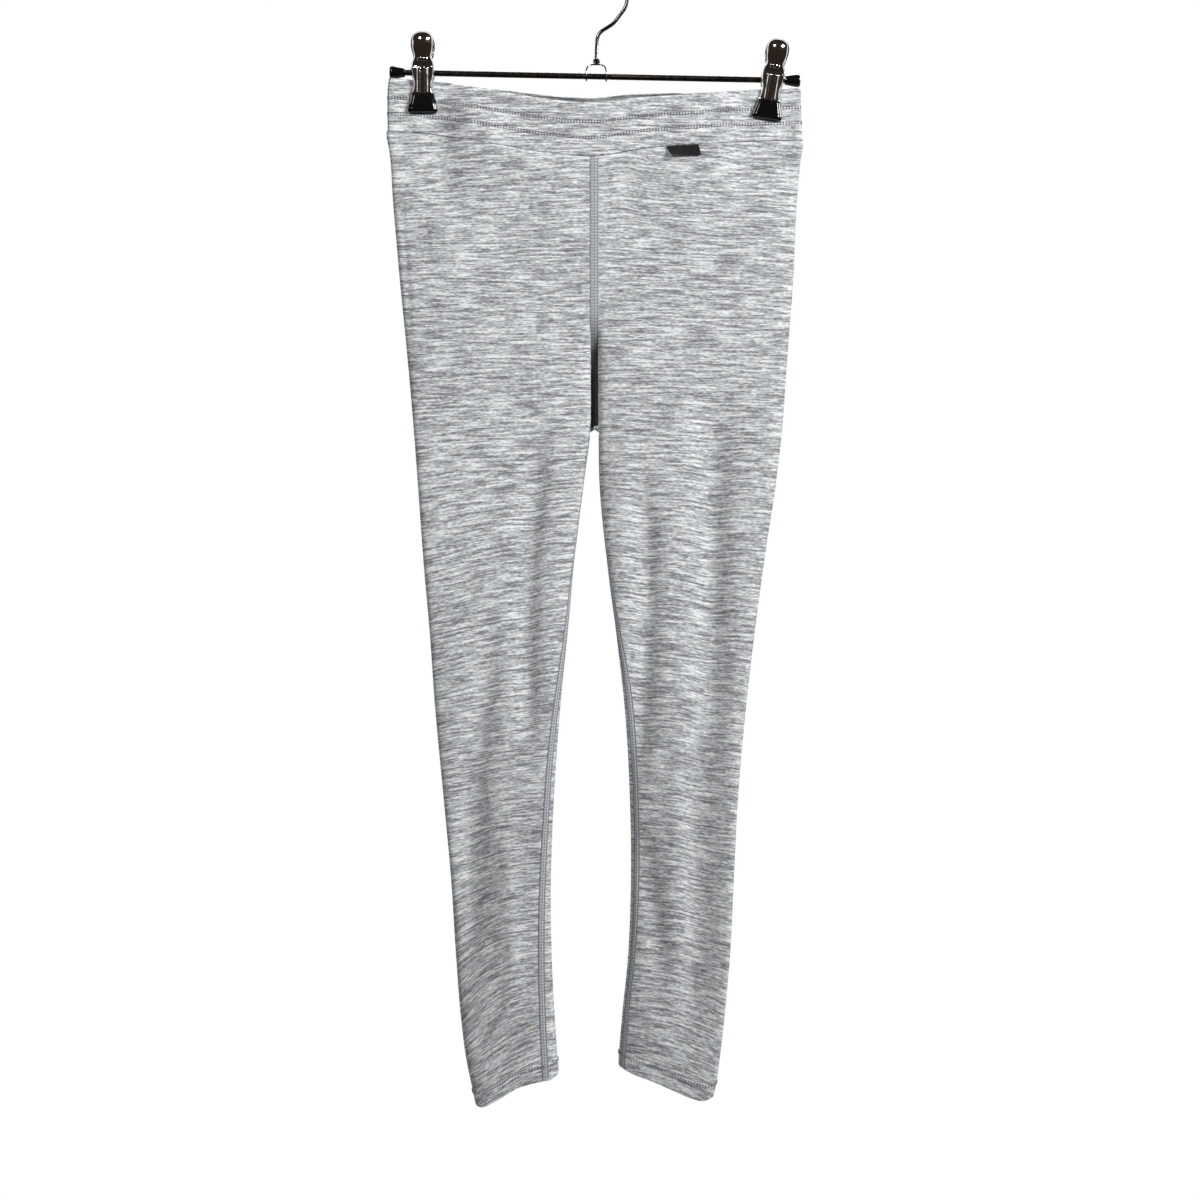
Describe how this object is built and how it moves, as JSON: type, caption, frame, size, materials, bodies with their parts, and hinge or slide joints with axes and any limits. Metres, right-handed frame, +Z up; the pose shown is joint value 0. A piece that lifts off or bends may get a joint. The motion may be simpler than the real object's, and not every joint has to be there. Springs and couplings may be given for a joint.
{
  "type": "base layer pants on clip hanger",
  "caption": "Light grey melange base layer pants with a wide waistband, clipped by the waist to a chrome hanger with a wire hook.",
  "frame": {"origin": "hang point: the inside of the top of the hook, where the hanger rests on a rail", "axes": "+X along the hanger's rod towards the wearer's left side, +Y from the garment's front to its back, +Z up along the legs"},
  "size_m": [0.3547, 0.0423, 0.9696],
  "materials": {
    "grey_knit": "soft melange single knit",
    "label_tape": "woven tape, no lettering",
    "polished_metal": "polished chrome plate",
    "black_rubber": "satin rubber"
  },
  "bodies": {
    "root": {"waistband": "grey_knit", "leg_right": "grey_knit", "leg_left": "grey_knit", "label": "label_tape", "rod": "polished_metal", "hook": "polished_metal", "swivel": "polished_metal", "bail": "polished_metal", "cap_right": "black_rubber", "cap_left": "black_rubber", "clip_spring_right": "polished_metal", "clip_spring_left": "polished_metal", "clip_plate_right_front": "polished_metal", "clip_plate_right_back": "polished_metal", "clip_plate_left_front": "polished_metal", "clip_plate_left_back": "polished_metal", "clip_pad_right_front": "black_rubber", "clip_pad_right_back": "black_rubber", "clip_pad_left_front": "black_rubber", "clip_pad_left_back": "black_rubber"}
  },
  "joints": []
}
